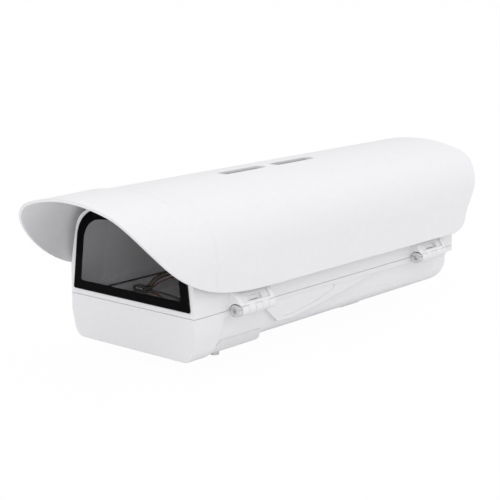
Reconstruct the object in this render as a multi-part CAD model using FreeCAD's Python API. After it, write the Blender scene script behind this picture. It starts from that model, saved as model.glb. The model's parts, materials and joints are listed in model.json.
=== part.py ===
import FreeCAD, Part
import math
import os
from FreeCAD import Vector

# Outdoor camera housing: a cast base, a side-opening cover with a window, and a sunshield with a visor.
# Millimetres, +Z up. The window looks along -Y and the hinges are on the +X side.
# Everything is drawn from the front face of the base (Y = 0) and the resting plane (Z = 0);
# save() moves it back so that the origin is the centre of the bracket's bolt pattern.

# Main casing
BODY_W = 160.8          # width of base and cover at the parting line
HALF_W = BODY_W / 2.0
CASE_L = 425.0          # length of the rim and of the cover
RIM_TOP = 41.5          # top of the base's rim
RIM_H = 5.5             # height of the proud rim band
SEAM_GAP = 0.4          # gap between base and cover
RIM_INSET = 7.0         # width of the two sealing rims
RIM_CORNER_R = 8.0      # rear corners of the rim, seen from above
FRONT_CORNER_R = 1.2    # front corners, seen from above
WALL = 3.0              # wall of the base
COVER_WALL = 2.5        # wall of the cover
COVER_LOW = RIM_TOP + SEAM_GAP
NUDGE = 0.01            # gap that keeps flat neighbours from sharing material

# Lower body of the base
LOWER_W = BODY_W - 8.8          # width just under the rim
LOWER_BOTTOM_W = LOWER_W - 3.0  # width that the sides taper to
LOWER_Z = 5.0                   # underside
LOWER_L = 418.0                 # rear wall
LOWER_CORNER_R = 12.0           # long lower edges
LOWER_REAR_R = 34.0             # lower rear edge
LOWER_PLAN_R = 8.0              # rear upright edges
FLOOR = LOWER_Z + WALL          # inside of the base

# Front bumper of the base
BUMPER_LOW = -0.9       # its lower edge
BUMPER_SIDE_Z = 28.5    # below this the sides lean in
BUMPER_LEAN_IN = 5.4    # how far each side leans in down to the lower edge
BUMPER_SIDE_R = 40.0
BUMPER_CORNER_R = 12.0
BUMPER_FACE_Z = 31.0    # below this the front face slopes back
BUMPER_FACE_SET = 1.5
BUMPER_EDGE_R = 1.0
NOSE_L = 34.0           # depth of the hollow inside the bumper

# Foot pads and bracket boss under the base
PAD_TOP_W = LOWER_W - 1.0
PAD_W = PAD_TOP_W - 14.0
PAD_START = 30.0
PAD_END = 101.0
PAD_H = 13.5
PAD_CORNER_R = 6.0
REAR_PAD_W = 112.0
REAR_PAD_START = 244.0
REAR_PAD_END = 285.0
LAND_R = 8.0            # upright corners of the rear pad and of the bracket's land
MOUNT_SET = 190.0       # bracket pattern's centre behind the front face
MOUNT_SPACING_X = 50.0
MOUNT_SPACING_Y = 60.0
MOUNT_HOLE_D = 5.0      # tapping size of M6
MOUNT_HOLE_DEPTH = 13.0
MOUNT_BOSS_D = 13.0
MOUNT_BOSS_TOP = 16.0
MOUNT_LAND_W = 74.0
MOUNT_LAND_L = 84.0
PAD_SCREW_X = 60.0
PAD_SCREW_Y = 49.0
PAD_SCREW_D = 4.0
PAD_SCREW_HEAD_D = 8.0
PAD_SCREW_HEAD_H = 4.2

# Raised panel on each flank
PANEL_HALF = HALF_W - 0.7
PANEL_RECESS = 0.6      # depth of the name field, left bare

# Seal between base and cover
SEAL_GROOVE_W = 3.0
SEAL_GROOVE_DEPTH = 2.4
SEAL_SIDE_GAP = 0.2
SEAL_INSET = 3.5        # middle of the seal from the outer edge
SEAL_PROUD = 0.1        # how far the seal stands above the rim
LIP_T = 0.9             # strip along the inner edge of the rim
LIP_H = 1.4

# Cover section
COVER_CROWN_Z = 133.5
COVER_CROWN_R = 190.0
COVER_CORNER_R = 27.0
COVER_WAIST_Z = 82.0
COVER_WAIST_W = BODY_W - 6.4
COVER_SHOULDER_Z = 100.0
COVER_SHOULDER_W = BODY_W - 14.2
COVER_BULGE = 1.3       # how far the lower flank curves out
COVER_REAR_R = 30.0
MOUTH_H = 6.0           # height of the cover's sealing rim
COLLAR_END = 40.0       # the wall thins towards the rear from the window to here
COLLAR_WALL = 8.0      # its thickness at the window

# Window
WINDOW_SILL_Z = 46.9    # lower edge of the window opening
WINDOW_TOP_Z = 130.0
WINDOW_BASE_Z = 60.0    # height at which the opening's half width is given
WINDOW_HALF = HALF_W - 6.0
WINDOW_LEAN = 7.1       # degrees that its sides lean in
WINDOW_CORNER_R = 33.5
WINDOW_CROWN_R = 330.4
WINDOW_LOW_R = 2.2
WINDOW_CLEAR = 0.4      # gap round the pane
GLASS_T = 4.0
GLASS_SET = -1.0        # pane's face, just proud of the front
MASK_T = 0.2            # printed border on the pane's face
SEAL_T = 1.0
LEDGE_T = 2.0
CLEAR_INSET = 9.9       # width of the printed border and the gap at the sides and top
CLEAR_SILL_Z = 56.3
LEDGE_GROW = 6.0        # the ledge's opening is this much larger than the clear glass
GLASS_BACK = GLASS_SET + GLASS_T
SEAL_BACK = GLASS_BACK + SEAL_T
LEDGE_BACK = SEAL_BACK + LEDGE_T

# Sunshield
SHIELD_T = 2.6
SHIELD_EDGE_Z = 58.4    # lower edge
SHIELD_HEM_Z = 70.3     # top of the edge band
SHIELD_HALF = HALF_W + 10.6
SHIELD_CROWN_Z = 149.4
SHIELD_CROWN_R = 190.0
SHIELD_CORNER_R = 50.0
SHIELD_OVER_Z = 170.0   # above every part of the sunshield
VISOR_NOSE = -77.0      # foremost point of the visor
VISOR_JOINT = 20.0      # here the visor meets the hood
SHIELD_TAIL = 467.0     # rear edge at the crown
VISOR_BASE_Z = SHIELD_EDGE_Z - 8.0

# Sections of the visor: place along Y, half width at its base against the hood's, lean of the flank in
# degrees (negative widens upwards), height and radius of the crown, corner radius
VISOR_FRONT = (-100.0, -21.8, -12.2, 151.1, 161.0, 41.2)
VISOR_BROW = (-4.0, -3.9, -5.0, 150.2, 250.0, 62.0)
VISOR_RAMP = (16.0, -4.6, -2.0, 148.0, 155.0, 50.0)
VISOR_CREASE = (100.0, -1.0, -4.8, 152.0, 200.0, 46.0)
VISOR_END = (480.0, 11.0, -4.8, 165.0, 200.0, 46.0)

# Openings in the crown and the studs that carry the sunshield
SLOT_W = 12.0
SLOT_L = 63.5
SLOT_STARTS = (125.5, 203.5)
SLOT_CORNER_R = 4.0
STUD_X = 40.0
STUD_SETS = (100.0, 350.0)
STUD_D = 13.0
STUD_LAND_Z = 131.0     # flat lands on the cover under the studs
STUD_LAND_H = 8.0
STUD_TOP_Z = SHIELD_CROWN_Z - 5.8       # inside the hood's curved crown
STUD_HOLE_D = 3.4
STUD_THREAD_L = 7.0
SHIELD_SCREW_HEAD_D = 7.0
SHIELD_SCREW_HEAD_H = 2.6
SHIELD_WASHER_T = 1.2
SHIELD_WASHER_D = 10.0

# Hinges on the +X side
HINGE_X = HALF_W + 6.1
HINGE_Z = 41.6
HINGE_R = 6.0
HINGE_STARTS = (52.0, 344.0)
KNUCKLE_L = 9.3
KNUCKLE_GAP = 0.3
KNUCKLES = 5
HINGE_L = KNUCKLES * KNUCKLE_L
PIN_D = 5.0
PIN_FIT = 0.05          # radial running fit of the pins
PIN_END_SET = 3.5       # pin's end inside the last knuckle
PIN_HEAD_D = 11.6
PIN_HEAD_L = 5.0
PIN_SOCKET_D = 5.0
PIN_SOCKET_L = 2.5
BARREL_CLEAR = 0.5      # gap between a barrel and the other casting
BRACKET_TOP_X = HALF_W + 2.2
BRACKET_TOP_Z = 60.5
BRACKET_LOW_X = HALF_W + 11.0
BRACKET_LOW_Z = 47.0
BRACKET_LEAD = 5.5      # at the flank the bracket starts this far ahead of its knuckles
BRACKET_NOSE = 1.7      # at its outer edge it starts this far ahead of them
BRACKET_TAIL = 1.0      # it ends this far before the last knuckle does
BRACKET_FRAME = 4.6     # width of the frame round the recess, at both ends
RECESS_H = 16.1
RECESS_DEPTH = 1.7
POCKET_L = 20.0
POCKET_H = 5.4
POCKET_DEPTH = 4.7
POCKET_DOWN = 10.5      # middle of the pocket below the bracket's top edge
FLANK_ROOT = 2.2        # how deep the outside pieces reach into the cover's wall

# Latches on the -X side
LATCH_X = -(HALF_W + 4.2)
LATCH_SETS = (82.0, 372.0)
LATCH_LUG_W = 13.0
LATCH_LUG_H = 6.0
LATCH_LUG_R = 5.0
LATCH_EAR_H = 14.0
LATCH_D = 4.0
LATCH_CLEAR = 0.5
LATCH_HEAD_D = 7.0
LATCH_HEAD_H = 4.0
LATCH_SOCKET_AF = 3.0
LATCH_ENGAGE = 5.5      # length of thread in the base
LATCH_OUT_X = LATCH_X - LATCH_LUG_W / 2.0 + 1.5

# Camera tray and electrics
TRAY_Z = 33.0
TRAY_T = 1.5
TRAY_W = LOWER_W - 14.0
TRAY_START = 12.0
TRAY_END = 296.0
TRAY_CORNER_R = 4.0
TRAY_LIP_H = 9.0
TRAY_SLOT_W = 6.8
TRAY_SLOT = (60.0, 260.0)
TRAY_POST_X = TRAY_W / 2.0 - 14.0
POST_D = 9.0
SCREW_D = 3.0
BOLT_Y = 165.0
BOLT_D = 6.35
KNOB_D = 20.0
KNOB_H = 7.0
BOARD_START = 322.0
BOARD_END = 350.0
BOARD_W = 96.0
BOARD_T = 1.6
BOARD_Z = 24.0
BOARD_TOP = BOARD_Z + BOARD_T
BOARD_POST_X = 40.0
BOARD_POST_D = 7.0

# Plug, wires, clips and terminals
PLUG_X0, PLUG_X1 = -65.0, -46.5
PLUG_Y0, PLUG_Y1 = 67.5, 76.5
PLUG_H = 5.2
PLUG_PORT_W = 2.2       # openings in the plug's front, which show its contacts
PLUG_PORT_H = 1.8
PLUG_PORTS_X = (-60.5, -57.3, -54.1)
PLUG_PORT_Z = TRAY_Z + 2.4
WIRE_D = 1.6
OVER_TRAY = TRAY_Z + WIRE_D / 2.0 + 0.4
CLIP_SPOTS = ((-45.0, 200.0), (45.0, 200.0))
CLIP_HALF = 10.0
CLIP_CHANNEL = 6.6      # half width of the channel for the wires
CLIP_ROOF_Z = OVER_TRAY + WIRE_D / 2.0 + 0.4
BLOCK_X = 18.0
BLOCK_HALF = 14.0
BLOCK_H = 10.0
PORT_W = 3.7
PORT_H = 3.7
PORT_PITCH = 5.2
PORTS = 5
PORT_Y = BOARD_START + 14.0
PORT_Z = BOARD_TOP + 3.4
TERMINAL_SCREW_D = 3.2

# Cable glands under the rear
GLAND_SET = 370.0
GLAND_X = 17.0
GLAND_D = 16.0          # outside of the M16 thread
GLAND_CLEAR = 0.2
GLAND_AF = 20.0
GLAND_BORE = 11.0
GLAND_WASHER_T = 1.2
GLAND_COLLAR_H = 5.0
GLAND_STUB_END = 13.0   # depths below the base's underside
GLAND_CAP_START = 6.4
GLAND_CAP_END = 14.5
GLAND_DOME_END = 18.0
CABLE_D = 8.0

# Places of the repeated fittings
SIDES = (-1, 1)
MOUNT_SPOTS = [(sx * MOUNT_SPACING_X / 2.0, MOUNT_SET + sy * MOUNT_SPACING_Y / 2.0)
               for sx in SIDES for sy in SIDES]
TRAY_POSTS = [(sx * TRAY_POST_X, y) for sx in SIDES for y in (40.0, 276.0)]
BOARD_POSTS = [(sx * BOARD_POST_X, y) for sx in SIDES for y in (BOARD_START + 6.0, BOARD_END - 6.0)]
GLAND_SPOTS = [(sx * GLAND_X, GLAND_SET) for sx in SIDES]
PAD_SCREW_SPOTS = [(sx * PAD_SCREW_X, PAD_SCREW_Y) for sx in SIDES]
SHIELD_STUDS = [(sx * STUD_X, y) for sx in SIDES for y in STUD_SETS]


# Helpers
def at_x(x):
    return lambda a, b: Vector(x, a, b)


def at_y(y):
    return lambda a, b: Vector(a, y, b)


def at_z(z):
    return lambda a, b: Vector(a, b, z)


def rounded_corner(last, corner, after, radius):
    """Start, middle and end of the arc that rounds a corner; all three are the corner when it is sharp."""
    back, on = last - corner, after - corner
    back.normalize()
    on.normalize()
    if radius <= 0:
        return corner, corner, corner
    half = back.getAngle(on) / 2.0
    reach = radius / math.tan(half)
    middle = back + on
    middle.normalize()
    crown = corner + middle * (radius / math.sin(half) - radius)
    return corner + back * reach, crown, corner + on * reach


def outline(points, radii, place):
    """Closed wire through the points, each corner rounded to its radius (0 keeps it sharp)."""
    count = len(points)
    if not isinstance(radii, (list, tuple)):
        radii = [radii] * count
    flat = [Vector(a, b, 0) for a, b in points]
    corners = [rounded_corner(flat[i - 1], flat[i], flat[(i + 1) % count], radii[i]) for i in range(count)]
    wire = []
    for i, (start, crown, end) in enumerate(corners):
        if radii[i] > 0:
            wire.append(Part.Arc(*[place(p.x, p.y) for p in (start, crown, end)]).toShape())
        there = corners[(i + 1) % count][0]
        if (there - end).Length > 1e-6:
            wire.append(Part.LineSegment(place(end.x, end.y), place(there.x, there.y)).toShape())
    return Part.Wire(wire)


def prism(wire, direction):
    return Part.Face(wire).extrude(direction)


def along_y(points, radii, start, end):
    return prism(outline(points, radii, at_y(start)), Vector(0, end - start, 0))


def across_x(points, radii, half_width):
    return prism(outline(points, radii, at_x(-half_width)), Vector(2 * half_width, 0, 0))


def up_z(points, radii, bottom, top):
    return prism(outline(points, radii, at_z(bottom)), Vector(0, 0, top - bottom))


def plate_z(x0, x1, y0, y1, radii, bottom, top):
    """Upright prism of a rectangle; radii run from (x0, y0) round by (x1, y0)."""
    return up_z([(x0, y0), (x1, y0), (x1, y1), (x0, y1)], radii, bottom, top)


def box(x0, x1, y0, y1, z0, z1):
    return Part.makeBox(x1 - x0, y1 - y0, z1 - z0, Vector(x0, y0, z0))


def rod_z(x, y, z0, z1, d):
    return Part.makeCylinder(d / 2.0, z1 - z0, Vector(x, y, z0), Vector(0, 0, 1))


def rod_y(x, z, y0, y1, d):
    return Part.makeCylinder(d / 2.0, y1 - y0, Vector(x, y0, z), Vector(0, 1, 0))


def hexagon_z(x, y, z0, z1, across_flats):
    r = across_flats / 2.0 / math.cos(math.pi / 6.0)
    turns = [math.pi / 3.0 * i for i in range(6)]
    return up_z([(x + r * math.cos(a), y + r * math.sin(a)) for a in turns], 0, z0, z1)


def mirrored(shape):
    return shape.mirror(Vector(0, 0, 0), Vector(1, 0, 0))


def fuse(shapes):
    return shapes[0].multiFuse(shapes[1:]).removeSplitter()


def cut(shape, tools):
    return shape.cut(Part.makeCompound(tools))


def save(name, shape):
    shape = shape.copy()
    shape.translate(Vector(0, -MOUNT_SET, 0))
    os.makedirs("parts", exist_ok=True)
    shape.exportStep("parts/%s.step" % name)
    solids = len(shape.Solids)
    print("%-22s solids %d valid %s volume %.0f" % (name, solids, shape.isValid(), shape.Volume))


# Sections shared by base and cover
def rim_plan(inset, bottom, top):
    """Upright prism of the rim's outline, moved inwards by inset."""
    half = HALF_W - inset
    front_r = max(FRONT_CORNER_R - inset, 1.0)
    rear_r = RIM_CORNER_R - inset
    return plate_z(-half, half, inset, CASE_L - inset, [front_r, front_r, rear_r, rear_r], bottom, top)


def seal_ring(width, bottom, top):
    outside = rim_plan(SEAL_INSET - width / 2.0, bottom, top)
    inside = rim_plan(SEAL_INSET + width / 2.0, bottom - 1, top + 1)
    return outside.cut(inside)


def base_gasket():
    """Sealing ring in its groove, and a thin strip along the inner edge of the rim."""
    ring = seal_ring(SEAL_GROOVE_W, RIM_TOP - SEAL_GROOVE_DEPTH, RIM_TOP + SEAL_PROUD)
    low, top = RIM_TOP + SEAL_PROUD - LIP_H, RIM_TOP + SEAL_PROUD
    lip = rim_plan(RIM_INSET + NUDGE, low, top).cut(rim_plan(RIM_INSET + LIP_T, low - 1, top + 1))
    return Part.makeCompound([ring, lip])


# Base
def lower_body(inset, top):
    """The base's lower body, moved inwards by inset, up to top."""
    half_top = LOWER_W / 2.0 - inset
    half_low = LOWER_BOTTOM_W / 2.0 - inset
    low = LOWER_Z + inset
    start, end = WALL + inset, LOWER_L - inset
    corner = LOWER_CORNER_R - inset
    section = along_y([(-half_top, top), (-half_low, low), (half_low, low), (half_top, top)],
                      [0, corner, corner, 0], start, end)
    side = across_x([(start, top), (start, low), (end, low), (end, top)],
                    [0, 0, LOWER_REAR_R - inset, 0], BODY_W)
    plan_r = LOWER_PLAN_R - inset
    plan = plate_z(-half_top, half_top, start, end, [0, 0, plan_r, plan_r], 0, top)
    return section.common(side).common(plan)


def bumper(inset):
    """The deeper front of the base, whose rear edge sweeps back as it rises."""
    half = HALF_W - inset
    half_low = half - BUMPER_LEAN_IN
    low = BUMPER_LOW + inset
    corner, edge_r = BUMPER_CORNER_R - inset, max(BUMPER_EDGE_R - inset, 0.5)
    section = along_y([(-half, RIM_TOP), (-half, BUMPER_SIDE_Z), (-half_low, low), (half_low, low),
                       (half, BUMPER_SIDE_Z), (half, RIM_TOP)],
                      [0, BUMPER_SIDE_R, corner, corner, BUMPER_SIDE_R, 0], inset, 60.0)
    side = across_x([(inset, RIM_TOP), (inset, BUMPER_FACE_Z), (BUMPER_FACE_SET + inset, low),
                     (21.0 - inset, low), (29.5 - inset, 5.0 + inset), (39.0 - inset, 30.0),
                     (40.0 - inset, RIM_TOP)],
                    [0, 0, edge_r, 8.0, 8.0, 20.0, 0], BODY_W)
    return section.common(side).common(rim_plan(inset, BUMPER_LOW - 1, RIM_TOP))


def front_pad():
    """Foot under the front, with sloping sides that meet the flank in a valley."""
    half_top, half = PAD_TOP_W / 2.0, PAD_W / 2.0
    section = along_y([(-half_top, PAD_H), (-half, 0), (half, 0), (half_top, PAD_H)],
                      [0, PAD_CORNER_R, PAD_CORNER_R, 0], PAD_START - 5, PAD_END)
    side = across_x([(PAD_START + 12, PAD_H), (PAD_START, 3.5), (PAD_START + 5, 0), (PAD_END, 0),
                     (PAD_END, PAD_H)], [0, 2.0, 3.0, PAD_CORNER_R, 0], BODY_W)
    plan = plate_z(-half_top, half_top, PAD_START, PAD_END, [0, 0, 9.0, 9.0], 0, PAD_H)
    return section.common(side).common(plan)


def rear_pad():
    half = REAR_PAD_W / 2.0
    return plate_z(-half, half, REAR_PAD_START, REAR_PAD_END, LAND_R, 0, LOWER_Z + 1.0)


def bracket_land():
    half_w, half_l = MOUNT_LAND_W / 2.0, MOUNT_LAND_L / 2.0
    return plate_z(-half_w, half_w, MOUNT_SET - half_l, MOUNT_SET + half_l, LAND_R, 0, LOWER_Z + 1.0)


def flank_panel():
    """Raised panel on the flank: steep front wall, lower edge that climbs back into the rim."""
    corners = [(96.0, RIM_TOP - 1), (99.0, 33.0), (117.0, 16.6), (140.0, 16.2), (176.0, 20.4),
               (248.0, 31.2), (268.0, 36.2), (290.0, RIM_TOP - 1)]
    return across_x(corners, [0, 6.0, 8.0, 60.0, 200.0, 120.0, 40.0, 0], PANEL_HALF)


def name_field():
    """Shallow field in the panel where a name would stand; it is bare."""
    corners = [(110.0, 38.0), (124.5, 20.2), (142.0, 20.4), (174.0, 24.6), (225.0, 38.0)]
    edge = outline(corners, [3.0, 6.0, 40.0, 120.0, 3.0], at_x(PANEL_HALF - PANEL_RECESS))
    return prism(edge, Vector(5, 0, 0))


def knuckle_span(start, index, gap):
    """Start and end of one knuckle of a hinge."""
    y = start + index * KNUCKLE_L
    return y + gap / 2.0, y + KNUCKLE_L - gap / 2.0


def barrel_slice(start, index):
    y0, y1 = knuckle_span(start, index, KNUCKLE_GAP)
    return rod_y(HINGE_X, HINGE_Z, y0, y1, 2 * HINGE_R)


def barrel_room(start, index):
    """Room that one casting leaves for a knuckle of the other."""
    y0, y1 = knuckle_span(start, index, -KNUCKLE_GAP)
    return rod_y(HINGE_X, HINGE_Z, y0, y1, 2 * (HINGE_R + BARREL_CLEAR))


def base_knuckle(start, index):
    """Barrel slice joined to the base's rim by a web under the hinge axis."""
    y0, y1 = knuckle_span(start, index, KNUCKLE_GAP)
    root = HALF_W - 2.0
    web = along_y([(root, RIM_TOP), (root, RIM_TOP - RIM_H), (HINGE_X + 1.0, HINGE_Z - HINGE_R),
                   (HINGE_X + HINGE_R - 1.0, HINGE_Z - 2.0), (HINGE_X, RIM_TOP)], 0, y0, y1)
    return barrel_slice(start, index).fuse(web)


def latch_lug(y, root, bottom, top):
    """Rounded lug on the far side, round a captive screw."""
    half = LATCH_LUG_W / 2.0
    return plate_z(LATCH_OUT_X, root, y - half, y + half, [LATCH_LUG_R, 0, 0, LATCH_LUG_R], bottom, top)


def base_latch_ear(y):
    """Ear on the far side that takes a captive screw, tapering to a toe below."""
    half, low = LATCH_LUG_W / 2.0, RIM_TOP - LATCH_EAR_H
    toe = across_x([(y - half, RIM_TOP), (y - half, low + 6.0), (y, low), (y + half, low + 6.0),
                    (y + half, RIM_TOP)], [0, 2.0, 4.0, 2.0, 0], BODY_W)
    return latch_lug(y, 3.0 - HALF_W, low, RIM_TOP).common(toe)


def base_hollow():
    """Inside of the base: the rim's opening, the long body and the nose."""
    rim = rim_plan(RIM_INSET, RIM_TOP - RIM_H + WALL, RIM_TOP + 1)
    half = LOWER_W / 2.0 - 10.0
    nose = bumper(WALL).common(box(-half, half, 0, NOSE_L, 0, RIM_TOP - RIM_H))
    return fuse([rim, lower_body(WALL, RIM_TOP), nose])


def base_bosses():
    """Everything that stands in or on the hollow base."""
    solids = [rod_z(x, y, FLOOR - 1, MOUNT_BOSS_TOP, MOUNT_BOSS_D) for x, y in MOUNT_SPOTS]
    solids += [rod_z(x, y, FLOOR - 1, TRAY_Z - TRAY_T, POST_D) for x, y in TRAY_POSTS]
    solids += [rod_z(x, y, FLOOR - 1, BOARD_Z, BOARD_POST_D) for x, y in BOARD_POSTS]
    solids += [base_knuckle(start, i) for start in HINGE_STARTS for i in range(0, KNUCKLES, 2)]
    solids += [base_latch_ear(y) for y in LATCH_SETS]
    return solids


def base_holes():
    thread_d = SCREW_D - 0.2
    tools = [rod_z(x, y, -1, MOUNT_HOLE_DEPTH, MOUNT_HOLE_D) for x, y in MOUNT_SPOTS]
    tools += [rod_z(x, y, 15, TRAY_Z, thread_d) for x, y in TRAY_POSTS]
    tools += [rod_z(x, y, 14, BOARD_Z + 1, thread_d) for x, y in BOARD_POSTS]
    tools += [rod_z(x, y, -1, FLOOR + 6, GLAND_D + 2 * GLAND_CLEAR) for x, y in GLAND_SPOTS]
    tools += [rod_z(x, y, -1, 6.5, PAD_SCREW_D) for x, y in PAD_SCREW_SPOTS]
    tools += [rod_z(LATCH_X, y, RIM_TOP - 11, RIM_TOP + 1, LATCH_D + 2 * LATCH_CLEAR) for y in LATCH_SETS]
    for start in HINGE_STARTS:
        tools.append(rod_y(HINGE_X, HINGE_Z, start - 1, start + HINGE_L - 3, PIN_D + 2 * PIN_FIT))
        tools += [barrel_room(start, i) for i in range(1, KNUCKLES, 2)]
    return tools


def base_shell():
    panel = flank_panel().common(box(-BODY_W, BODY_W, 0, 300, 10, RIM_TOP))
    rim = rim_plan(0, RIM_TOP - RIM_H, RIM_TOP)
    below = [front_pad(), rear_pad(), bracket_land(), panel]
    outer = fuse([lower_body(0, RIM_TOP - 1), bumper(0), rim] + below)
    shell = fuse([outer.cut(base_hollow())] + base_bosses())
    groove = seal_ring(SEAL_GROOVE_W + 2 * SEAL_SIDE_GAP, RIM_TOP - SEAL_GROOVE_DEPTH, RIM_TOP + 1)
    return cut(shell, base_holes() + [name_field(), mirrored(name_field()), groove])


# Cover
def hood_points(base_x, base_z, lean, crown_z, crown_r, corner_r):
    """Key points of a hood section: end of the flank, middle of the corner, end of the crown and its top.

    The flank passes through (base_x, base_z) and leans inwards by lean (radians) as it rises. The corner
    arc touches the flank and the crown arc, whose top is at (0, crown_z)."""
    normal = (math.cos(lean), math.sin(lean))
    along = (-math.sin(lean), math.cos(lean))
    foot = (base_x - normal[0] * corner_r, base_z - normal[1] * corner_r)
    centre_z = crown_z - crown_r
    reach = crown_r - corner_r
    half_b = foot[0] * along[0] + (foot[1] - centre_z) * along[1]
    rest = foot[0] ** 2 + (foot[1] - centre_z) ** 2 - reach ** 2
    s = -half_b + math.sqrt(half_b ** 2 - rest)
    corner = (foot[0] + along[0] * s, foot[1] + along[1] * s)
    flank = (corner[0] + normal[0] * corner_r, corner[1] + normal[1] * corner_r)
    up = (corner[0] / reach, (corner[1] - centre_z) / reach)
    crown_end = (up[0] * crown_r, centre_z + up[1] * crown_r)
    mid = (normal[0] + up[0], normal[1] + up[1])
    size = math.hypot(*mid)
    apex = (corner[0] + mid[0] / size * corner_r, corner[1] + mid[1] / size * corner_r)
    return flank, apex, crown_end, (0.0, crown_z)


def hood_edges(flank_edges, points, place):
    """Edges of a symmetric hood: the given right flank, the corner, their mirror images and the crown."""
    flank, apex, crown_end, tip = points
    right = flank_edges + [Part.Arc(place(*flank), place(*apex), place(*crown_end)).toShape()]
    crown = Part.Arc(place(*crown_end), place(*tip), place(-crown_end[0], crown_end[1])).toShape()
    return right + [crown] + [mirrored(edge) for edge in right]


def closed_prism(edges, length):
    return prism(Part.Wire(Part.__sortEdges__(edges)), Vector(0, length, 0))


def cover_wire(inset, bottom, y):
    """The cover's section at y, moved inwards by inset."""
    half = HALF_W - inset
    waist = COVER_WAIST_W / 2.0 - inset
    shoulder = COVER_SHOULDER_W / 2.0 - inset
    lean = math.atan2(waist - shoulder, COVER_SHOULDER_Z - COVER_WAIST_Z)
    points = hood_points(shoulder, COVER_SHOULDER_Z, lean, COVER_CROWN_Z - inset, COVER_CROWN_R - inset,
                         COVER_CORNER_R - inset)
    place = at_y(y)
    bulge = ((half + waist) / 2 + COVER_BULGE, (bottom + COVER_WAIST_Z) / 2)
    flank = [Part.Arc(place(half, bottom), place(*bulge), place(waist, COVER_WAIST_Z)).toShape(),
             Part.LineSegment(place(waist, COVER_WAIST_Z), place(*points[0])).toShape()]
    sill = Part.LineSegment(place(-half, bottom), place(half, bottom)).toShape()
    return Part.Wire(Part.__sortEdges__(hood_edges(flank, points, place) + [sill]))


def cover_section(inset, bottom, start, end):
    return prism(cover_wire(inset, bottom, start), Vector(0, end - start, 0))


def cover_side(inset, bottom):
    """Side view of the cover, moved inwards by inset, as a prism across the whole width."""
    top, end = COVER_CROWN_Z - inset, CASE_L - inset
    return across_x([(inset, bottom), (end, bottom), (end, top), (inset, top)],
                    [0, 0, COVER_REAR_R - inset, 0], BODY_W)


def cover_block(inset, bottom):
    """Closed block of the cover, moved inwards by inset."""
    block = cover_section(inset, bottom, inset, CASE_L - inset)
    return block.common(cover_side(inset, bottom)).common(rim_plan(inset, bottom, COVER_CROWN_Z))


def cover_hollow():
    """Inside of the cover: the room behind the window's ledge, narrower near the window."""
    low = COVER_LOW + MOUTH_H - 1.0
    ends = [cover_wire(COLLAR_WALL, low, LEDGE_BACK), cover_wire(COVER_WALL, low, COLLAR_END)]
    near = Part.makeLoft(ends, True, True)
    far = cover_section(COVER_WALL, low, COLLAR_END, CASE_L - COVER_WALL)
    far = far.common(cover_side(COVER_WALL, COVER_LOW)).common(rim_plan(COVER_WALL, low, COVER_CROWN_Z))
    return [near, far, rim_plan(RIM_INSET, COVER_LOW - 1, COVER_LOW + MOUTH_H)]


def window_prism(inset, sill_z, start, end):
    """Prism of the window's outline moved inwards by inset, with nearly square lower corners."""
    lean = math.radians(WINDOW_LEAN)
    points = hood_points(WINDOW_HALF - inset, WINDOW_BASE_Z, lean, WINDOW_TOP_Z - inset,
                         WINDOW_CROWN_R - inset, WINDOW_CORNER_R - inset)
    flank = points[0]
    low_x = flank[0] + (flank[1] - sill_z) * math.tan(lean)
    foot = (low_x - WINDOW_LOW_R * math.tan(lean), sill_z + WINDOW_LOW_R)
    toe = (low_x - WINDOW_LOW_R, sill_z)
    bend = (low_x - WINDOW_LOW_R * 0.3, sill_z + WINDOW_LOW_R * 0.3)
    place = at_y(start)
    side = [Part.Arc(place(*toe), place(*bend), place(*foot)).toShape(),
            Part.LineSegment(place(*foot), place(*flank)).toShape()]
    sill = Part.LineSegment(place(*toe), place(-toe[0], toe[1])).toShape()
    return closed_prism(hood_edges(side, points, place) + [sill], end - start)


def clear_prism(grow, start, end):
    return window_prism(CLEAR_INSET - grow, CLEAR_SILL_Z - grow, start, end)


def slab(centre, out, down, length, height, depth):
    """Block centred on a point of a sloping face: length along Y, height down the slope, sunk by depth."""
    p = centre - Vector(0, length / 2.0, 0) - down * (height / 2.0) + out * 2.0
    along = Vector(0, length, 0)
    face = Part.Face(Part.makePolygon([p, p + along, p + along + down * height, p + down * height, p]))
    return face.extrude(out * -(depth + 2.0))


def hinge_bracket(start):
    """Sloping bracket cast on the cover: a framed plate with a pocket and a slanting front end."""
    lead, nose, end = start - BRACKET_LEAD, start - BRACKET_NOSE, start + HINGE_L - BRACKET_TAIL
    root = HALF_W - FLANK_ROOT
    top_x, low_x = BRACKET_TOP_X, BRACKET_LOW_X
    body = along_y([(root, BRACKET_TOP_Z), (top_x, BRACKET_TOP_Z), (low_x, BRACKET_LOW_Z), (low_x, 44.0),
                    (HALF_W + 3.6, 42.6), (root, 42.6)], [0, 1.0, 2.0, 0, 0, 0], lead, end)
    plan = up_z([(root, lead), (HALF_W, lead), (low_x + 1, nose), (low_x + 1, end), (root, end)], 0,
                COVER_LOW, BRACKET_TOP_Z + 1)
    slope = math.atan2(low_x - top_x, BRACKET_TOP_Z - BRACKET_LOW_Z)
    out = Vector(math.cos(slope), 0, math.sin(slope))
    down = Vector(math.sin(slope), 0, -math.cos(slope))
    edge = Vector(top_x, (nose + end) / 2.0, BRACKET_TOP_Z)
    recess = slab(edge + down * (RECESS_H / 2.0 - RECESS_DEPTH), out, down, end - nose - 2 * BRACKET_FRAME,
                  RECESS_H, RECESS_DEPTH)
    pocket = slab(edge + down * POCKET_DOWN, out, down, POCKET_L, POCKET_H, POCKET_DEPTH)
    return cut(body.common(plan), [recess, pocket])


def cover_knuckle(start, index):
    y0, y1 = knuckle_span(start, index, KNUCKLE_GAP)
    web = along_y([(HINGE_X - 2.0, HINGE_Z + 1.0), (HINGE_X - 2.0, 48.0), (HINGE_X + 3.5, 48.0),
                   (HINGE_X + HINGE_R - 0.4, HINGE_Z + 1.5)], 0, y0, y1)
    return barrel_slice(start, index).fuse(web)


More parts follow.
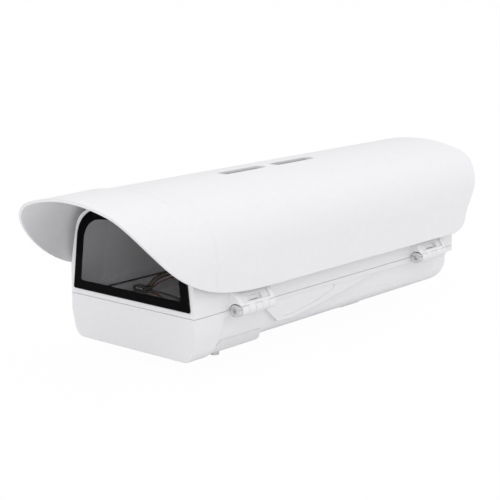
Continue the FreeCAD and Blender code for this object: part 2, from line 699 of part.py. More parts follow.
def cover_holes():
    """Holes for the captive screws and the sunshield's screws, and room for the base's knuckles."""
    hole_d = LATCH_D + 2 * LATCH_CLEAR
    tools = [rod_z(LATCH_X, y, COVER_LOW - 1, COVER_LOW + 30, hole_d) for y in LATCH_SETS]
    tools += [rod_z(x, y, STUD_LAND_Z - 12, STUD_LAND_Z + 1, 4.5) for x, y in SHIELD_STUDS]
    for start in HINGE_STARTS:
        tools += [barrel_room(start, i) for i in range(0, KNUCKLES, 2)]
        tools.append(rod_y(HINGE_X, HINGE_Z, start - 9, start, 2 * (HINGE_R + BARREL_CLEAR)))
    return tools


def cover_shell():
    lands = [rod_z(x, y, STUD_LAND_Z - STUD_LAND_H, STUD_LAND_Z, STUD_D + 4) for x, y in SHIELD_STUDS]
    shell = cut(fuse([cover_block(0, COVER_LOW)] + lands), cover_hollow())
    shell = shell.cut(window_prism(0, WINDOW_SILL_Z, -1, SEAL_BACK))
    shell = shell.cut(clear_prism(LEDGE_GROW, 0, LEDGE_BACK + 1))
    extras = [latch_lug(y, 4.0 - HALF_W, COVER_LOW, COVER_LOW + LATCH_LUG_H) for y in LATCH_SETS]
    extras += [hinge_bracket(start) for start in HINGE_STARTS]
    shell = cut(fuse([shell] + extras), cover_holes())
    shell = fuse([shell] + [cover_knuckle(s, i) for s in HINGE_STARTS for i in range(1, KNUCKLES, 2)])
    bores = [rod_y(HINGE_X, HINGE_Z, s - 1, s + HINGE_L, PIN_D + 2 * PIN_FIT) for s in HINGE_STARTS]
    return cut(shell, bores)


# Window pieces
def window_ring(start, end, grow):
    """Ring round the clear glass, as wide as the pane."""
    ring = window_prism(WINDOW_CLEAR, WINDOW_SILL_Z + WINDOW_CLEAR, start, end)
    return ring.cut(clear_prism(grow, start - 1, end + 1))


def window_glass():
    return window_prism(WINDOW_CLEAR, WINDOW_SILL_Z + WINDOW_CLEAR, GLASS_SET, GLASS_BACK)


def window_mask():
    return window_ring(GLASS_SET - MASK_T, GLASS_SET, 0)


def window_gasket():
    return window_ring(GLASS_BACK, SEAL_BACK, LEDGE_GROW)


# Sunshield
def hood_wire(half_w, edge_z, lean, crown, corner_r, hem, y):
    """Closed hood section at y; crown is its height and radius; hem adds an upright band below."""
    base_z = SHIELD_HEM_Z if hem else edge_z
    points = hood_points(half_w, base_z, lean, crown[0], crown[1], corner_r)
    place = at_y(y)
    side = [Part.LineSegment(place(half_w, base_z), place(*points[0])).toShape()]
    if hem:
        side.insert(0, Part.LineSegment(place(half_w, edge_z), place(half_w, base_z)).toShape())
    sill = Part.LineSegment(place(-half_w, edge_z), place(half_w, edge_z)).toShape()
    return Part.Wire(Part.__sortEdges__(hood_edges(side, points, place) + [sill]))


def visor_wire(section, inset):
    """Section of the visor, moved inwards by inset."""
    y, offset, lean, crown_z, crown_r, corner_r = section
    return hood_wire(SHIELD_HALF + offset - inset, VISOR_BASE_Z, math.radians(lean),
                     (crown_z - inset, crown_r - inset), corner_r - inset, False, y)


def shield_block(inset, extra):
    """Closed block of the sunshield, moved inwards by inset: the main hood, whose flanks the visor narrows
    from the crease forward, and the visor's own crown, which ramps up from the hood."""
    start, end = VISOR_BROW[0], VISOR_END[0]
    crown = (SHIELD_CROWN_Z - inset, SHIELD_CROWN_R - inset)
    main = hood_wire(SHIELD_HALF - inset, SHIELD_EDGE_Z - extra, 0.0, crown, SHIELD_CORNER_R - inset, True,
                     start)
    main = prism(main, Vector(0, end - start, 0))
    flanks = [visor_wire(s, inset) for s in (VISOR_BROW, VISOR_CREASE, VISOR_END)]
    ramp = [visor_wire(s, inset) for s in (VISOR_FRONT, VISOR_BROW, VISOR_RAMP)]
    return main.common(Part.makeLoft(flanks, True, True)).fuse(Part.makeLoft(ramp, True, True))


def side_curve(points):
    """Smooth curve in the side view through (Y, Z) points."""
    curve = Part.BSplineCurve()
    curve.interpolate([Vector(-BODY_W, y, z) for y, z in points])
    return curve.toShape()


def shield_profile():
    """Side view of the sunshield: S-shaped visor rim in front, swept tail behind."""
    low, high = SHIELD_EDGE_Z, SHIELD_OVER_Z
    rim = [(92.0, low), (60.0, 59.1), (32.0, 62.3), (4.0, 69.6), (-27.0, 85.6), (-50.8, 106.4),
           (-64.0, 122.0), (-73.2, 137.8), (VISOR_NOSE, 154.0)]
    tail = [(SHIELD_TAIL, 154.0), (466.5, 137.0), (459.5, 125.0), (448.5, 107.0), (436.5, 90.0),
            (430.0, 78.0), (426.5, 68.0), (417.0, 61.0), (405.0, low)]
    edges = [side_curve(rim), side_curve(tail)]
    loop = [rim[-1], (VISOR_NOSE, high), (SHIELD_TAIL, high), tail[0]]
    for a, b in list(zip(loop, loop[1:])) + [(tail[-1], rim[0])]:
        edges.append(Part.LineSegment(Vector(-BODY_W, *a), Vector(-BODY_W, *b)).toShape())
    return prism(Part.Wire(Part.__sortEdges__(edges)), Vector(2 * BODY_W, 0, 0))


def sunshield():
    shell = shield_block(0, 0).cut(shield_block(SHIELD_T, 6)).common(shield_profile())
    inside = SHIELD_CROWN_Z - 8
    studs = [rod_z(x, y, STUD_LAND_Z + NUDGE, STUD_TOP_Z, STUD_D) for x, y in SHIELD_STUDS]
    hole_end = STUD_LAND_Z + STUD_THREAD_L + 1.5
    tools = [rod_z(x, y, STUD_LAND_Z - 1, hole_end, STUD_HOLE_D) for x, y in SHIELD_STUDS]
    half = SLOT_W / 2.0
    tools += [plate_z(-half, half, start, start + SLOT_L, SLOT_CORNER_R, inside, SHIELD_OVER_Z)
              for start in SLOT_STARTS]
    return cut(fuse([shell] + studs), tools)


def shield_parts():
    """The sunshield's two mouldings, the hood and the visor, which meet in a flush butt joint."""
    whole = sunshield()
    side = SHIELD_OVER_Z
    front = box(-side, side, VISOR_NOSE - 1, VISOR_JOINT, 0, side)
    rear = box(-side, side, VISOR_JOINT + NUDGE, SHIELD_TAIL + 1, 0, side)
    return whole.common(rear), whole.common(front)


def sunshield_screws():
    """Four pan-head screws from inside the cover into the sunshield's studs, each on a sealing washer."""
    screws = []
    under = STUD_LAND_Z - STUD_LAND_H - SHIELD_WASHER_T
    for x, y in SHIELD_STUDS:
        head = rod_z(x, y, under - SHIELD_SCREW_HEAD_H, under, SHIELD_SCREW_HEAD_D)
        shank = rod_z(x, y, under, STUD_LAND_Z + STUD_THREAD_L, STUD_HOLE_D - 2 * NUDGE)
        screws.append(head.fuse(shank))
    return Part.makeCompound(screws)


def sunshield_washers():
    rings = []
    under = STUD_LAND_Z - STUD_LAND_H
    for x, y in SHIELD_STUDS:
        ring = rod_z(x, y, under - SHIELD_WASHER_T, under, SHIELD_WASHER_D)
        rings.append(ring.cut(rod_z(x, y, under - 3, under + 1, STUD_HOLE_D + 0.2)))
    return Part.makeCompound(rings)


# Hinge pins and latches
def hinge_pin(start):
    """Pin with a round socket head; its end stays inside the last knuckle."""
    face = start - PIN_HEAD_L
    head = rod_y(HINGE_X, HINGE_Z, face, start - NUDGE, PIN_HEAD_D)
    shank = rod_y(HINGE_X, HINGE_Z, start - 1, start + HINGE_L - PIN_END_SET, PIN_D)
    return head.fuse(shank).cut(rod_y(HINGE_X, HINGE_Z, face - 1, face + PIN_SOCKET_L, PIN_SOCKET_D))


def latch_screw(y):
    """Captive screw: hexagon socket head on top of the lug, plain shank, thread in the base's ear."""
    top = COVER_LOW + LATCH_LUG_H
    head = rod_z(LATCH_X, y, top + NUDGE, top + LATCH_HEAD_H, LATCH_HEAD_D)
    shank = rod_z(LATCH_X, y, RIM_TOP - LATCH_ENGAGE, top + 1, LATCH_D)
    socket = hexagon_z(LATCH_X, y, top + 1.8, top + LATCH_HEAD_H + 1, LATCH_SOCKET_AF)
    return head.fuse(shank).cut(socket)


# Tray and electrics
def camera_tray():
    """Folded aluminium tray with a long camera slot."""
    half, low = TRAY_W / 2.0, TRAY_Z - TRAY_T
    solids = [plate_z(-half, half, TRAY_START, TRAY_END, TRAY_CORNER_R, low, TRAY_Z)]
    for x0 in (-half, half - TRAY_T):
        solids.append(box(x0, x0 + TRAY_T, TRAY_START + 10, TRAY_END - 10, TRAY_Z - TRAY_LIP_H, TRAY_Z - 1))
    slot_half = TRAY_SLOT_W / 2.0
    tools = [plate_z(-slot_half, slot_half, *TRAY_SLOT, slot_half - 0.1, low - 3, TRAY_Z + 3)]
    tools += [rod_z(x, y, low - 3, TRAY_Z + 3, SCREW_D + 0.4) for x, y in TRAY_POSTS]
    return cut(fuse(solids), tools)


def pan_screws(spots, seat, head_d, depth):
    screws = []
    for x, y in spots:
        head = rod_z(x, y, seat + NUDGE, seat + 2.2, head_d)
        shank = rod_z(x, y, seat - depth, seat + 1, SCREW_D - 0.4)
        screws.append(head.fuse(shank))
    return Part.makeCompound(screws)


def camera_bolt():
    """Quarter-inch camera screw with a knob under the tray."""
    under = TRAY_Z - TRAY_T
    knob = rod_z(0, BOLT_Y, under - KNOB_H, under - NUDGE, KNOB_D)
    return knob.fuse(rod_z(0, BOLT_Y, under - 4, TRAY_Z + 8.0, BOLT_D))


def terminal_board():
    half = BOARD_W / 2.0
    board = plate_z(-half, half, BOARD_START, BOARD_END, 2.0, BOARD_Z + NUDGE, BOARD_TOP)
    return cut(board, [rod_z(x, y, BOARD_Z - 1, BOARD_Z + 3, SCREW_D + 0.4) for x, y in BOARD_POSTS])


def port_x(block, index):
    """Middle of a terminal port; block is -1 or 1."""
    return block * BLOCK_X + (index - (PORTS - 1) / 2.0) * PORT_PITCH


def terminal_blocks():
    """Two blocks, each with a row of wire ports in front and clamping screws on top."""
    blocks = []
    low = BOARD_TOP + NUDGE
    for side in SIDES:
        x = side * BLOCK_X
        block = box(x - BLOCK_HALF, x + BLOCK_HALF, PORT_Y - 3.0, PORT_Y + 7.0, low, low + BLOCK_H)
        tools = []
        for i in range(PORTS):
            x = port_x(side, i)
            tools.append(box(x - PORT_W / 2, x + PORT_W / 2, PORT_Y - 4.0, PORT_Y + 3.0,
                             PORT_Z - PORT_H / 2, PORT_Z + PORT_H / 2))
            tools.append(rod_z(x, PORT_Y + 2.0, low + 7.5, low + BLOCK_H + 1, TERMINAL_SCREW_D))
        blocks.append(cut(block, tools))
    return Part.makeCompound(blocks)


# Wires from the plug on the tray to the terminal blocks
def clip_run(x):
    """The straight run of a wire under its clip."""
    return [(x, 186.0, OVER_TRAY), (x, 214.0, OVER_TRAY)]


def into_port(block, index, aside):
    """The last run of a wire: down from the tray's end into its port."""
    x = port_x(block, index)
    return [(x + aside, 322.0, 32.0), (x, PORT_Y, PORT_Z)]


def wire_routes():
    """Routes of the wires of each node: out of the plug, over the tray, under a clip and into a port."""
    z = OVER_TRAY
    face, back = PLUG_X1 + 0.3, PLUG_Y1 + 0.4
    black = [[(-55.0, back, 37.0), (-55.0, 79.8, 38.0), (-54.8, 86.0, 43.4), (-54.4, 96.0, 46.0),
              (-53.6, 112.0, 46.6), (-52.4, 134.0, 43.5), (-50.6, 160.0, 35.8)] + clip_run(-49.8)
             + [(-47.0, 262.0, z), (-43.0, 300.0, z)] + into_port(-1, 0, -4.0),
             [(-50.4, back, 37.0), (-50.4, 79.6, 37.8), (-50.0, 86.0, 42.8), (-49.6, 96.0, 44.8),
              (-48.8, 112.0, 45.4), (-47.2, 134.0, 42.5), (-44.6, 160.0, 35.6)] + clip_run(-43.4)
             + [(-38.5, 262.0, z), (-31.0, 300.0, z)] + into_port(-1, 2, -2.0)]
    yellow = [[(-52.7, back, 37.0), (-52.7, 79.7, 37.9), (-52.4, 86.0, 43.2), (-52.0, 96.0, 45.5),
               (-51.2, 112.0, 46.2), (-49.8, 134.0, 43.0), (-47.6, 160.0, 35.7)] + clip_run(-46.6)
              + [(-43.0, 262.0, z), (-37.0, 300.0, z)] + into_port(-1, 1, -3.0)]
    red = [[(-48.1, back, 36.6), (-48.1, 80.0, 37.2), (-47.6, 87.0, 40.8), (-46.8, 97.0, 42.2),
            (-45.8, 112.0, 42.4), (-44.0, 134.0, 40.0), (-41.4, 160.0, 35.4)] + clip_run(-40.2)
           + [(-33.0, 262.0, z), (-24.0, 300.0, z)] + into_port(-1, 3, 0.0)]
    black_low = [[(face, 75.0, z), (-33.0, 75.6, z), (-14.0, 72.3, z), (1.0, 67.3, z), (18.0, 70.0, z),
                  (32.0, 90.0, z), (40.0, 130.0, z)] + clip_run(43.4)
                 + [(41.0, 252.0, z), (34.0, 298.0, z)] + into_port(1, 3, 1.5)]
    red_low = [[(face, 70.6, z), (-34.0, 69.6, z), (-19.7, 61.4, z), (-2.0, 49.0, z), (22.0, 50.0, z),
                (38.0, 74.0, z), (44.5, 120.0, z)] + clip_run(46.6)
               + [(45.0, 254.0, z), (40.0, 298.0, z)] + into_port(1, 4, 3.0)]
    return {"wire_black_upper": black, "wire_yellow_upper": yellow, "wire_red_upper": red,
            "wire_black_lower": black_low, "wire_red_lower": red_low}


def wire_tube(route):
    """Round tube along straight runs joined by arcs as large as the runs allow."""
    points = [Vector(*p) for p in route]
    edges, here, least = [], points[0], CASE_L
    for last, corner, after in zip(points, points[1:], points[2:]):
        back, on = last - corner, after - corner
        reach = 0.45 * min(back.Length, on.Length)
        radius = reach * math.tan(back.getAngle(on) / 2.0)
        least = min(least, radius)
        start, crown, end = rounded_corner(last, corner, after, radius)
        edges.append(Part.LineSegment(here, start).toShape())
        edges.append(Part.Arc(start, crown, end).toShape())
        here = end
    edges.append(Part.LineSegment(here, points[-1]).toShape())
    path = Part.Wire(edges)
    ring = Part.Wire(Part.makeCircle(WIRE_D / 2.0, points[0], points[1] - points[0]))
    tube = path.makePipeShell([ring], True, True)
    print("wire length %.0f least radius %.1f" % (path.Length, least))
    return tube


def plug_port(x, inset):
    """Opening in the plug's front, moved inwards by inset."""
    half = PLUG_PORT_W / 2.0 - inset
    low, top = PLUG_PORT_Z + inset, PLUG_PORT_Z + PLUG_PORT_H - inset
    return box(x - half, x + half, PLUG_Y0 - 1 + 6 * inset, PLUG_Y0 + 1.6 - inset, low, top)


def wire_plug():
    """Flat black plug with openings that show its contacts, and a catch on top."""
    top = TRAY_Z + PLUG_H
    plug = box(PLUG_X0, PLUG_X1, PLUG_Y0, PLUG_Y1, TRAY_Z + NUDGE, top)
    latch = box(PLUG_X0 + 7.0, PLUG_X0 + 14.0, PLUG_Y0 + 3.0, PLUG_Y0 + 6.0, top - 1, top + 1.0)
    return cut(plug, [plug_port(x, 0) for x in PLUG_PORTS_X]).fuse(latch)


def plug_contacts():
    return Part.makeCompound([plug_port(x, 0.2) for x in PLUG_PORTS_X])


def wire_clips():
    """Two bridges on the tray, each holding its wires down."""
    clips = []
    for x, y in CLIP_SPOTS:
        block = plate_z(x - CLIP_HALF, x + CLIP_HALF, y - 4, y + 4, 1.5, TRAY_Z + NUDGE, CLIP_ROOF_Z + 1.6)
        channel = box(x - CLIP_CHANNEL, x + CLIP_CHANNEL, y - 6, y + 6, TRAY_Z - 1, CLIP_ROOF_Z)
        clips.append(block.cut(channel))
    return Part.makeCompound(clips)


# Cable glands
def gland_body(x, y):
    """Hexagon collar under the base, thread up through the floor, clamping thread below."""
    seat = LOWER_Z - GLAND_WASHER_T
    collar = hexagon_z(x, y, seat - GLAND_COLLAR_H, seat, GLAND_AF)
    thread = rod_z(x, y, seat - 1.0, FLOOR + 7.0, GLAND_D)
    stub = rod_z(x, y, LOWER_Z - GLAND_STUB_END, seat - 4.0, GLAND_D - 1)
    return fuse([collar, thread, stub]).cut(rod_z(x, y, LOWER_Z - 20, LOWER_Z + 20, GLAND_BORE))


def gland_cap(x, y):
    """Hexagon nut with a tapering nose that closes on the cable."""
    low, waist = LOWER_Z - GLAND_DOME_END, LOWER_Z - GLAND_CAP_END
    nut = hexagon_z(x, y, waist, LOWER_Z - GLAND_CAP_START, GLAND_AF)
    dome = Part.makeCone(6.0, 9.4, waist - low, Vector(x, y, low), Vector(0, 0, 1))
    inner = rod_z(x, y, waist + 1.0, LOWER_Z, GLAND_D - 1 + GLAND_CLEAR)
    return cut(fuse([nut, dome]), [inner, rod_z(x, y, low - 1, LOWER_Z, CABLE_D + 1.0)])


def gland_seal(x, y):
    ring = rod_z(x, y, LOWER_Z - GLAND_STUB_END, LOWER_Z - 1.0, GLAND_BORE - 0.1)
    return ring.cut(rod_z(x, y, LOWER_Z - 20, LOWER_Z + 5, CABLE_D))


def gland_washer(x, y):
    ring = rod_z(x, y, LOWER_Z - GLAND_WASHER_T + NUDGE, LOWER_Z - NUDGE, GLAND_AF + 1)
    return ring.cut(rod_z(x, y, 0, 10, GLAND_D + 0.1))


def gland_locknut(x, y):
    nut = hexagon_z(x, y, FLOOR + NUDGE, FLOOR + 4.5, GLAND_AF + 1)
    return nut.cut(rod_z(x, y, 0, 30, GLAND_D + 0.1))


def pad_screws():
    """Two socket screws under the front pad, heads hanging below it."""
    screws = []
    for x, y in PAD_SCREW_SPOTS:
        head = rod_z(x, y, -PAD_SCREW_HEAD_H, -NUDGE, PAD_SCREW_HEAD_D)
        shank = rod_z(x, y, -1, 6.0, PAD_SCREW_D - 2 * NUDGE)
        screws.append(head.fuse(shank).cut(hexagon_z(x, y, -5, -1.8, 3.5)))
    return Part.makeCompound(screws)


def main():
    save("base_shell", base_shell())
    save("cover_shell", cover_shell())
    hood, visor = shield_parts()
    save("sunshield_hood", hood)
    save("sunshield_visor", visor)
    save("base_gasket", base_gasket())
    save("window_glass", window_glass())
    save("window_mask", window_mask())
    save("window_gasket", window_gasket())
    save("sunshield_screws", sunshield_screws())
    save("sunshield_washers", sunshield_washers())
    for place, start in zip(("front", "rear"), HINGE_STARTS):
        save("hinge_pin_" + place, hinge_pin(start))
    for place, y in zip(("front", "rear"), LATCH_SETS):
        save("latch_screw_" + place, latch_screw(y))
    save("camera_tray", camera_tray())
    save("tray_screws", pan_screws(TRAY_POSTS, TRAY_Z, 6.0, 10.0))
    save("camera_bolt", camera_bolt())
    save("terminal_board", terminal_board())
    save("board_screws", pan_screws(BOARD_POSTS, BOARD_TOP, 5.5, 8.0))
    save("terminal_blocks", terminal_blocks())
    for side, (x, y) in zip(("right", "left"), GLAND_SPOTS):
        save("gland_body_" + side, gland_body(x, y))
        save("gland_cap_" + side, gland_cap(x, y))
        save("gland_seal_" + side, gland_seal(x, y))
        save("gland_washer_" + side, gland_washer(x, y))
        save("gland_locknut_" + side, gland_locknut(x, y))
    save("pad_screws", pad_screws())
    save("wire_plug", wire_plug())
    save("plug_contacts", plug_contacts())
    save("wire_clips", wire_clips())
    for name, routes in wire_routes().items():
        save(name, Part.makeCompound([wire_tube(route) for route in routes]))


main()
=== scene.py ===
import json
import math

import bpy
from mathutils import Matrix, Vector


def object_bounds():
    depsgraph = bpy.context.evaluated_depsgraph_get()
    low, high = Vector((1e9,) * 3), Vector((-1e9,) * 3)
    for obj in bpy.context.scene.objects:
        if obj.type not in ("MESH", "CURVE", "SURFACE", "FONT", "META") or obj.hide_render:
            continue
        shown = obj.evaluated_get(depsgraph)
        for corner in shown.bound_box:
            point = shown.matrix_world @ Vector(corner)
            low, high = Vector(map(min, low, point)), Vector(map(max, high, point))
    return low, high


# An outdoor camera housing in a white studio, in the view of its photograph. Metres, +Z up.
# The solids keep their modelled shape; this script gives them materials, light, a floor and a camera.
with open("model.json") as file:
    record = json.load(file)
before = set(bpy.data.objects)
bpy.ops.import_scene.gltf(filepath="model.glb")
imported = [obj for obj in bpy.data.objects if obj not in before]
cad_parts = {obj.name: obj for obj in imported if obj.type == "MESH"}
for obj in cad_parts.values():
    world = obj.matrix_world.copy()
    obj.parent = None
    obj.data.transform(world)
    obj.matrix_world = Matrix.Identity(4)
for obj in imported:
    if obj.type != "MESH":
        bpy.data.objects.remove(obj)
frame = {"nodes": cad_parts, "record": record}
CAD_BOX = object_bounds()
NODES = frame["nodes"]

# Camera of the photographed view
IMAGE_W = 500           # width of the photograph in pixels
FOCAL_PX = 1381.285     # focal length in those pixels
SENSOR_MM = 36.0
FAR_CLIP = 100.0
CAMERA_AT = Vector((0.88661, -1.054234, 0.36358))
AZIMUTH = math.radians(40.628)
ELEVATION = math.radians(12.322)

# Skies: strength at two heights of a ray's direction, where 1 is straight up
SKY_TINT = (0.99, 0.988, 1.0)
SKY_HEIGHTS = (-0.2, 1.0)
SKY_STRENGTHS = (1.04, 0.95)
MIRROR_TINT = (1.0, 1.0, 1.0)
MIRROR_HEIGHTS = (0.0, 0.7)
MIRROR_STRENGTHS = (0.35, 1.0)
BACKDROP = (1.0, 1.0, 1.0, 1.0)

# Lamp
LAMP_SIZE = 2.4
LAMP_POWER = 7.5
LAMP_AT = Vector((0.5, -1.0, 2.4))
LAMP_TARGET = Vector((0.0, 0.0, 0.0))

# Floor
FLOOR_Z = CAD_BOX[0].z
FLOOR_HALF = 12.0
FLOOR_COLOUR = (0.85, 0.85, 0.85, 1.0)
FLOOR_GLOW = 0.975      # share of plain white in what the camera sees of the floor

# Patterns of the surfaces
NOISE_RANGE = (0.3, 0.7)            # values that the noise seldom leaves
NOISE_ROUGHNESS = 0.5
EVEN = (1.0, 1.0, 1.0)              # noise that isn't stretched
MOTTLE_RATIO = 12.0                 # waves of the grain to one wave of the mottling
MOTTLE_DETAIL = 4.0
GRAIN_DETAIL = 2.0
EDGE_SAMPLES = 6
BAND_WAVES = 160.0                  # bands on the rolled sheet, in waves per metre across it
BAND_ROUGHNESS = 0.6
BAND_STRETCH = (1.0, 0.04, 1.0)
SCRATCH_WAVES = 2500.0              # scratches along the bands
SCRATCH_STRETCH = (1.0, 0.05, 1.0)

# Window pane
GLASS_TINT = (0.925, 0.921, 0.922, 1.0)
GLASS_ROUGH = 0.02
GLASS_BLEND = 0.5
GLASS_POWER = 4.0       # how late the mirror grows as the view gets flatter
GLASS_EDGE_SHARE = 0.7  # share of mirror that is added at the flattest view
GLASS_FACE_SHARE = 0.004

# Surface of each slot: dark and light colour of its mottling, least and greatest roughness, depth of its
# bumps in metres, and grain in waves per metre. Some also state metal, gloss, or the radius in metres that
# their edges are softened by.
COATING = {"dark": (0.86, 0.86, 0.872), "light": (0.88, 0.88, 0.892), "edge": 0.0006}
BLACK = {"dark": (0.012, 0.012, 0.012), "light": (0.02, 0.02, 0.02), "rough": (0.35, 0.5),
         "depth": 0.00001, "grain": 1500.0}
TRAY = {"dark": (0.78, 0.78, 0.79), "light": (0.97, 0.97, 0.98), "rough": (0.3, 0.42),
        "depth": 0.0000005, "metal": 0.7}
SURFACES = {
    "casing": {**COATING, "rough": (0.42, 0.5), "depth": 0.00001, "grain": 2600.0},
    "shield": {**COATING, "rough": (0.4, 0.48), "depth": 0.000008, "grain": 2200.0},
    "mask": {"dark": (0.0012, 0.0012, 0.0015), "light": (0.0022, 0.0022, 0.0026), "rough": (0.3, 0.4),
             "depth": 0.000002, "grain": 3000.0, "gloss": 0.03},
    "seal": {"dark": (0.02, 0.02, 0.02), "light": (0.035, 0.035, 0.035), "rough": (0.6, 0.75),
             "depth": 0.00003, "grain": 1800.0},
    "pin_steel": {"dark": (0.68, 0.68, 0.69), "light": (0.78, 0.78, 0.79), "rough": (0.2, 0.3),
                  "depth": 0.00001, "grain": 1500.0, "metal": 0.75},
    "screw_steel": {"dark": (0.5, 0.5, 0.52), "light": (0.64, 0.64, 0.66), "rough": (0.25, 0.36),
                    "depth": 0.00001, "grain": 1500.0, "metal": 1.0},
    "gland_plastic": {"dark": (0.68, 0.69, 0.71), "light": (0.74, 0.75, 0.77), "rough": (0.4, 0.5),
                      "depth": 0.00002, "grain": 1500.0},
    "board": {"dark": (0.02, 0.10, 0.05), "light": (0.03, 0.14, 0.07), "rough": (0.35, 0.5),
              "depth": 0.00001, "grain": 1200.0},
    "terminal": {"dark": (0.04, 0.18, 0.10), "light": (0.05, 0.22, 0.13), "rough": (0.35, 0.45),
                 "depth": 0.00001, "grain": 1500.0},
    "plug_black": BLACK,
    "contact": {"dark": (0.86, 0.86, 0.84), "light": (0.95, 0.95, 0.93), "rough": (0.2, 0.3),
                "depth": 0.000005, "grain": 2000.0, "metal": 0.2},
    "wire_black": BLACK,
    "wire_yellow": {"dark": (0.30, 0.18, 0.075), "light": (0.36, 0.22, 0.09), "rough": (0.35, 0.5),
                    "depth": 0.00001, "grain": 1500.0},
    "wire_red": {"dark": (0.22, 0.075, 0.06), "light": (0.27, 0.09, 0.07), "rough": (0.35, 0.5),
                 "depth": 0.00001, "grain": 1500.0},
}


# Shader nodes
def fill(tree, node, inputs):
    """Sets the node's inputs to these values, or links them where a value is another node's output."""
    for name, value in inputs.items():
        if isinstance(value, bpy.types.NodeSocket):
            tree.links.new(value, node.inputs[name])
        else:
            node.inputs[name].default_value = value


def add(tree, kind, inputs):
    node = tree.nodes.new(kind)
    fill(tree, node, inputs)
    return node


def calculate(tree, operation, *values):
    node = tree.nodes.new("ShaderNodeMath")
    node.operation = operation
    fill(tree, node, dict(enumerate(values)))
    return node.outputs[0]


def ramp(tree, value, span, results, curve="LINEAR"):
    """Results from the first to the second as the value crosses the span."""
    node = tree.nodes.new("ShaderNodeMapRange")
    node.interpolation_type = curve
    fill(tree, node, {"Value": value, "From Min": span[0], "From Max": span[1],
                      "To Min": results[0], "To Max": results[1]})
    return node.outputs[0]


def mixed(tree, share, first, second):
    """Mix of two shaders, where share is the part of the second one."""
    return add(tree, "ShaderNodeMixShader", {0: share, 1: first, 2: second}).outputs[0]


def blend(tree, share, dark, light):
    """Colour between dark and light."""
    mix = tree.nodes.new("ShaderNodeMix")
    mix.data_type = "RGBA"
    fill(tree, mix, {"A": (*dark, 1.0), "B": (*light, 1.0), "Factor": share})
    return mix.outputs["Result"]


def noise(tree, waves, detail, roughness=NOISE_ROUGHNESS, stretch=EVEN):
    """Noise fixed to the object, in waves per metre."""
    place = add(tree, "ShaderNodeTexCoord", {}).outputs["Object"]
    mapping = add(tree, "ShaderNodeMapping", {"Vector": place, "Scale": stretch})
    pattern = {"Vector": mapping.outputs[0], "Scale": waves, "Detail": detail, "Roughness": roughness}
    return add(tree, "ShaderNodeTexNoise", pattern).outputs["Fac"]


def seen_by_eye(tree):
    """1 for rays from the camera and through glass, 0 for light and mirrors."""
    path = add(tree, "ShaderNodeLightPath", {})
    return calculate(tree, "MAXIMUM", path.outputs["Is Camera Ray"], path.outputs["Is Transmission Ray"])


# Camera, light and floor
def add_camera():
    data = bpy.data.cameras.new("view_camera")
    data.sensor_width = SENSOR_MM
    data.lens = SENSOR_MM * FOCAL_PX / IMAGE_W
    data.clip_end = FAR_CLIP
    camera = bpy.data.objects.new("view_camera", data)
    bpy.context.scene.collection.objects.link(camera)
    back = Vector((math.sin(AZIMUTH) * math.cos(ELEVATION), -math.cos(AZIMUTH) * math.cos(ELEVATION),
                   math.sin(ELEVATION)))
    right = Vector((math.cos(AZIMUTH), math.sin(AZIMUTH), 0.0))
    up = back.cross(right)
    turn = Matrix((right, up, back)).transposed()
    camera.matrix_world = Matrix.Translation(CAMERA_AT) @ turn.to_4x4()
    bpy.context.scene.camera = camera


def sky(tree, tint, heights, strengths):
    """Background whose strength changes between two heights of the ray's direction."""
    direction = add(tree, "ShaderNodeTexCoord", {}).outputs["Generated"]
    height = add(tree, "ShaderNodeSeparateXYZ", {0: direction}).outputs["Z"]
    strength = ramp(tree, height, heights, strengths, "SMOOTHSTEP")
    return add(tree, "ShaderNodeBackground", {"Color": (*tint, 1.0), "Strength": strength}).outputs[0]


def add_world():
    """Soft even sky for light, a sky that darkens to the horizon for mirrors, plain white for the eye."""
    world = bpy.data.worlds.new("studio")
    world.use_nodes = True
    bpy.context.scene.world = world
    tree = world.node_tree
    tree.nodes.clear()
    lit = sky(tree, SKY_TINT, SKY_HEIGHTS, SKY_STRENGTHS)
    mirrored = sky(tree, MIRROR_TINT, MIRROR_HEIGHTS, MIRROR_STRENGTHS)
    backdrop = add(tree, "ShaderNodeBackground", {"Color": BACKDROP}).outputs[0]
    glossy = add(tree, "ShaderNodeLightPath", {}).outputs["Is Glossy Ray"]
    around = mixed(tree, glossy, lit, mirrored)
    add(tree, "ShaderNodeOutputWorld", {0: mixed(tree, seen_by_eye(tree), around, backdrop)})


def add_lamp():
    data = bpy.data.lights.new("overhead", "AREA")
    data.shape = "DISK"
    data.size = LAMP_SIZE
    data.energy = LAMP_POWER
    lamp = bpy.data.objects.new("overhead", data)
    bpy.context.scene.collection.objects.link(lamp)
    lamp.location = LAMP_AT
    lamp.rotation_euler = (LAMP_TARGET - LAMP_AT).to_track_quat("-Z", "Y").to_euler()


def floor_surface(tree):
    """Matt floor that is nearly plain white to the eye, apart from a soft shadow."""
    matt = add(tree, "ShaderNodeBsdfDiffuse", {"Color": FLOOR_COLOUR}).outputs[0]
    glow = add(tree, "ShaderNodeEmission", {"Strength": 1.0}).outputs[0]
    return mixed(tree, seen_by_eye(tree), matt, mixed(tree, FLOOR_GLOW, matt, glow))


def add_floor():
    mesh = bpy.data.meshes.new("floor")
    half, z = FLOOR_HALF, FLOOR_Z
    corners = [(-half, -half, z), (half, -half, z), (half, half, z), (-half, half, z)]
    mesh.from_pydata(corners, [], [(0, 1, 2, 3)])
    floor = bpy.data.objects.new("floor", mesh)
    bpy.context.scene.collection.objects.link(floor)
    mesh.materials.append(make_material("floor", floor_surface))


# Materials
def make_material(name, surface, **look):
    material = bpy.data.materials.new(name)
    material.use_nodes = True
    tree = material.node_tree
    tree.nodes.clear()
    add(tree, "ShaderNodeOutputMaterial", {"Surface": surface(tree, **look)})
    return material


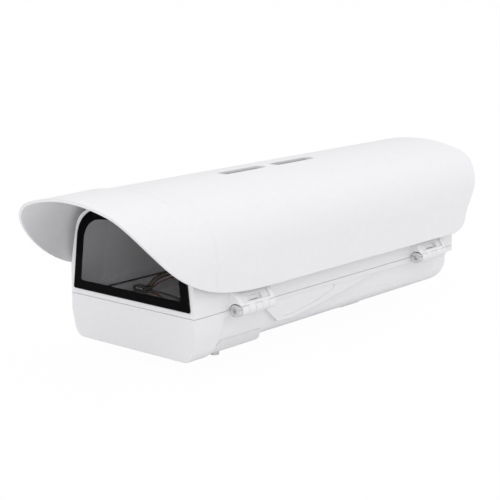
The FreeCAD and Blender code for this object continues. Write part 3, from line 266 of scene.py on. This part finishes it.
def textured(tree, wide, fine, dark, light, rough, depth, metal=0.0, gloss=0.5, edge=0.0):
    """Colour mottled by the wide noise; gloss and bumps from the fine one; edges softened over a radius."""
    relief = {"Strength": 1.0, "Distance": depth, "Height": fine}
    if edge:
        bevel = add(tree, "ShaderNodeBevel", {"Radius": edge})
        bevel.samples = EDGE_SAMPLES
        relief["Normal"] = bevel.outputs[0]
    return add(tree, "ShaderNodeBsdfPrincipled", {
        "Base Color": blend(tree, ramp(tree, wide, NOISE_RANGE, (0.0, 1.0)), dark, light),
        "Roughness": ramp(tree, fine, NOISE_RANGE, rough),
        "Normal": add(tree, "ShaderNodeBump", relief).outputs[0],
        "Metallic": metal,
        "Specular IOR Level": gloss,
    }).outputs[0]


def plain_surface(tree, grain, **look):
    """Surface whose mottling and grain are the same in all directions."""
    wide = noise(tree, grain / MOTTLE_RATIO, MOTTLE_DETAIL)
    return textured(tree, wide, noise(tree, grain, GRAIN_DETAIL), **look)


def rolled_surface(tree, **look):
    """Bright sheet with soft bands and fine scratches along its rolling direction."""
    bands = noise(tree, BAND_WAVES, GRAIN_DETAIL, BAND_ROUGHNESS, BAND_STRETCH)
    scratches = noise(tree, SCRATCH_WAVES, GRAIN_DETAIL, stretch=SCRATCH_STRETCH)
    return textured(tree, bands, scratches, **look)


def pane_surface(tree):
    """Clear pane: light goes straight through, with a faint mirror that grows at a low angle."""
    facing = add(tree, "ShaderNodeLayerWeight", {"Blend": GLASS_BLEND}).outputs["Facing"]
    flatness = calculate(tree, "POWER", facing, GLASS_POWER)
    share = calculate(tree, "MULTIPLY_ADD", flatness, GLASS_EDGE_SHARE, GLASS_FACE_SHARE)
    clear = add(tree, "ShaderNodeBsdfTransparent", {"Color": GLASS_TINT}).outputs[0]
    mirror = add(tree, "ShaderNodeBsdfGlossy", {"Roughness": GLASS_ROUGH}).outputs[0]
    return mixed(tree, share, clear, mirror)


def make_materials():
    materials = {slot: make_material(slot, plain_surface, **look) for slot, look in SURFACES.items()}
    materials["glass"] = make_material("glass", pane_surface)
    materials["tray_metal"] = make_material("tray_metal", rolled_surface, **TRAY)
    return materials


def dress(materials):
    """Each solid gets the material of its slot in the record."""
    for part in frame["record"]["subparts"]:
        piece = NODES[part["node"]]
        piece.data.materials.clear()
        piece.data.materials.append(materials[part["material_slot"]])


def main():
    add_camera()
    add_world()
    add_lamp()
    add_floor()
    dress(make_materials())
    bpy.context.scene.view_settings.view_transform = "Standard"


main()
